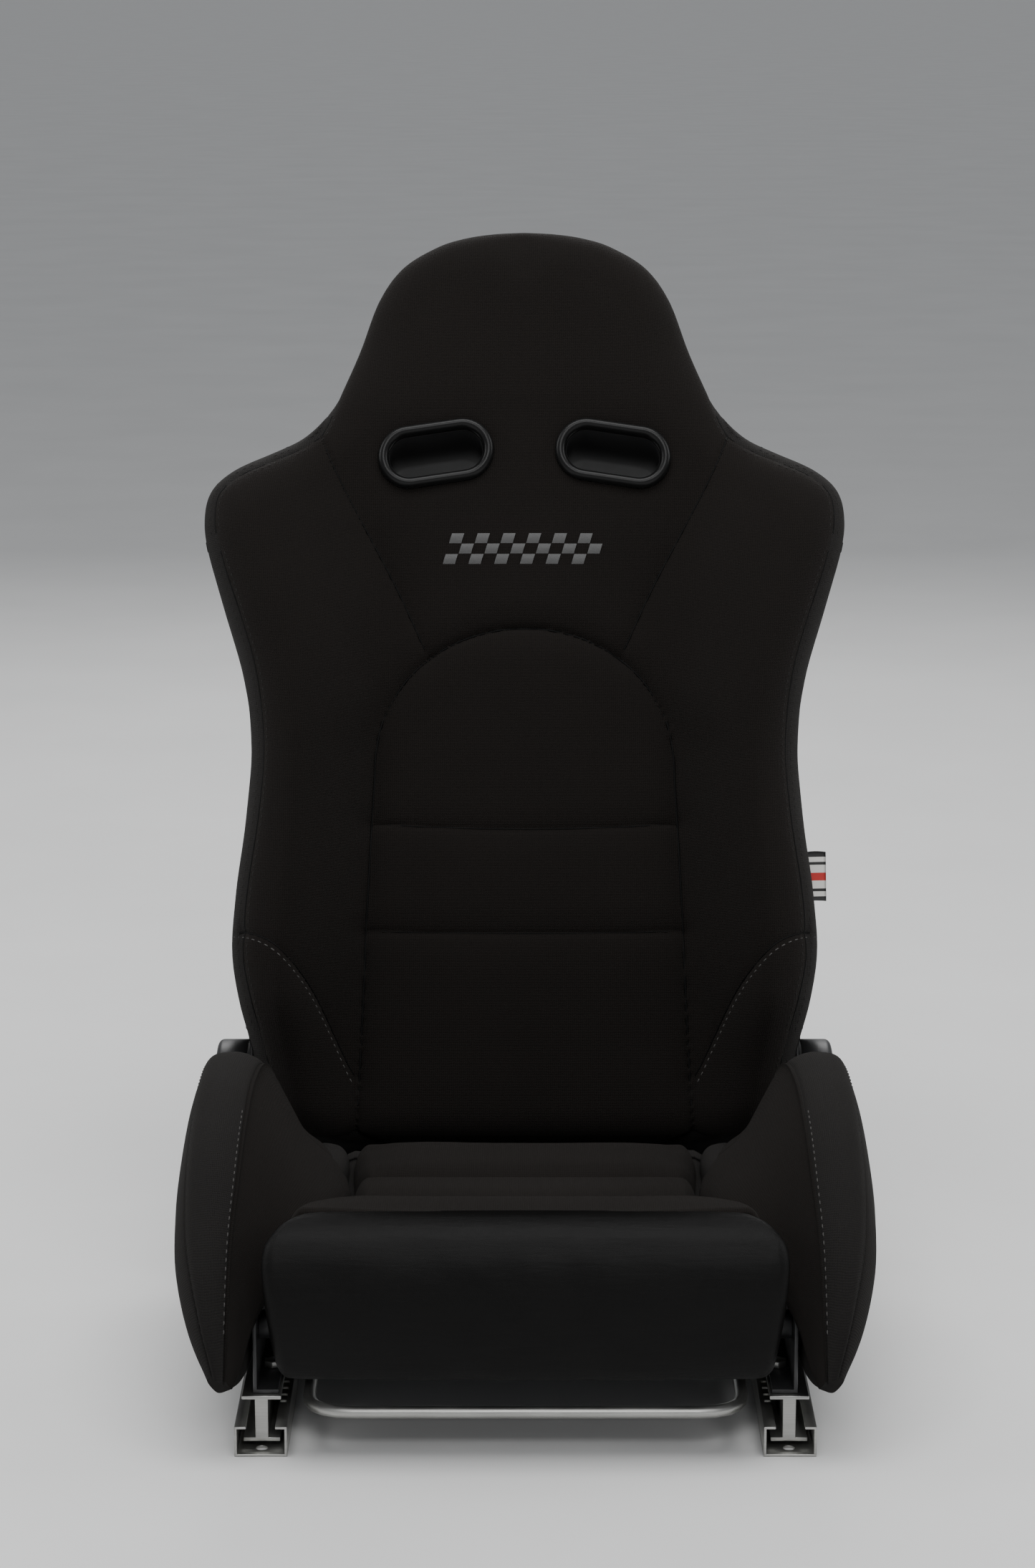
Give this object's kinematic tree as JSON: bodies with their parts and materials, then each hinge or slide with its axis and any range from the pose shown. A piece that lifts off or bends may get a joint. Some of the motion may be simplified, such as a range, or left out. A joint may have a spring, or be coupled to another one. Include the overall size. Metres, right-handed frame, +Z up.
{
  "type": "racing seat",
  "caption": "Reclining bucket seat with tall side bolsters, slots for a shoulder harness, a hinged backrest and slider rails.",
  "frame": {"origin": "on the floor plane under the middle of the whole seat, backrest at its rest angle", "axes": "+Z up, -Y the way the seat faces, +X the occupant's left"},
  "size_m": [0.55, 0.7078, 0.8692],
  "materials": {
    "fabric": "matte",
    "foam": "matte",
    "leatherette": "satin",
    "black_plastic": "satin",
    "black_steel": "satin",
    "zinc_steel": "satin",
    "spring_steel": "satin",
    "webbing": "matte",
    "tag_cloth": "matte"
  },
  "bodies": {
    "floor_rails": {"lower_rail_left": "zinc_steel", "lower_rail_right": "zinc_steel"},
    "ball_cages": {"ball_cage_left": "black_plastic", "ball_cage_right": "black_plastic"},
    "seat_base": {"upper_rail_left": "zinc_steel", "upper_rail_right": "zinc_steel", "side_plate_left": "black_steel", "side_plate_right": "black_steel", "recliner_bracket_left": "black_steel", "recliner_bracket_right": "black_steel", "seat_bolster_left": "foam", "seat_bolster_right": "foam", "recliner_disc_fixed_left": "zinc_steel", "recliner_disc_fixed_right": "zinc_steel", "return_spring_left": "spring_steel", "return_spring_right": "spring_steel", "recliner_cover_left": "black_plastic", "recliner_cover_right": "black_plastic", "bar_pivot_left": "zinc_steel", "bar_pivot_right": "zinc_steel", "rail_bolt_front_left": "zinc_steel", "rail_bolt_front_right": "zinc_steel", "rail_bolt_rear_left": "zinc_steel", "rail_bolt_rear_right": "zinc_steel", "front_cross_tube": "black_steel", "rear_cross_tube": "black_steel", "seat_spring_1": "spring_steel", "seat_spring_2": "spring_steel", "seat_spring_3": "spring_steel", "seat_spring_4": "spring_steel", "cushion_foam": "foam", "front_roll": "leatherette"},
    "backrest": {"hinge_arm_left": "black_steel", "hinge_arm_right": "black_steel", "recliner_disc_moving_left": "zinc_steel", "recliner_disc_moving_right": "zinc_steel", "arm_bolt_low_left": "zinc_steel", "arm_bolt_low_right": "zinc_steel", "arm_bolt_high_left": "zinc_steel", "arm_bolt_high_right": "zinc_steel", "harness_bezel_left": "black_plastic", "harness_bezel_right": "black_plastic", "rear_bezel_left": "black_plastic", "rear_bezel_right": "black_plastic", "back_cushion": "foam", "back_shell": "fabric", "back_frame": "black_steel", "lower_cross_bar": "black_steel", "upper_cross_bar": "black_steel", "back_strap_1": "webbing", "back_strap_2": "webbing", "back_strap_3": "webbing", "side_tag": "tag_cloth"},
    "recline_release": {"recliner_shaft": "zinc_steel", "recline_lever": "black_steel", "lever_grip": "black_plastic"},
    "slide_release": {"slide_bar": "zinc_steel", "slide_latch_left": "zinc_steel", "slide_latch_right": "zinc_steel"}
  },
  "joints": [
    {"name": "seat_slide", "type": "slide", "parent": "floor_rails", "child": "seat_base", "axis": [0, -1, 0], "range_m": [-0.1, 0.1]},
    {"name": "cage_roll", "type": "slide", "parent": "floor_rails", "child": "ball_cages", "axis": [0, -1, 0], "range_m": [-0.05, 0.05]},
    {"name": "recline", "type": "hinge", "parent": "seat_base", "child": "backrest", "pos_m": [0, 0.1026, 0.14], "axis": [-1, 0, 0], "range_deg": [-25, 62]},
    {"name": "recline_lever_pull", "type": "hinge", "parent": "seat_base", "child": "recline_release", "pos_m": [0, 0.1026, 0.14], "axis": [-1, 0, 0], "range_deg": [0, 25]},
    {"name": "slide_bar_lift", "type": "hinge", "parent": "seat_base", "child": "slide_release", "pos_m": [0, -0.0904, 0.036], "axis": [-1, 0, 0], "range_deg": [0, 4]}
  ],
  "couplings": [
    {"joint": "cage_roll", "follows": "seat_slide", "ratio": 0.5}
  ]
}
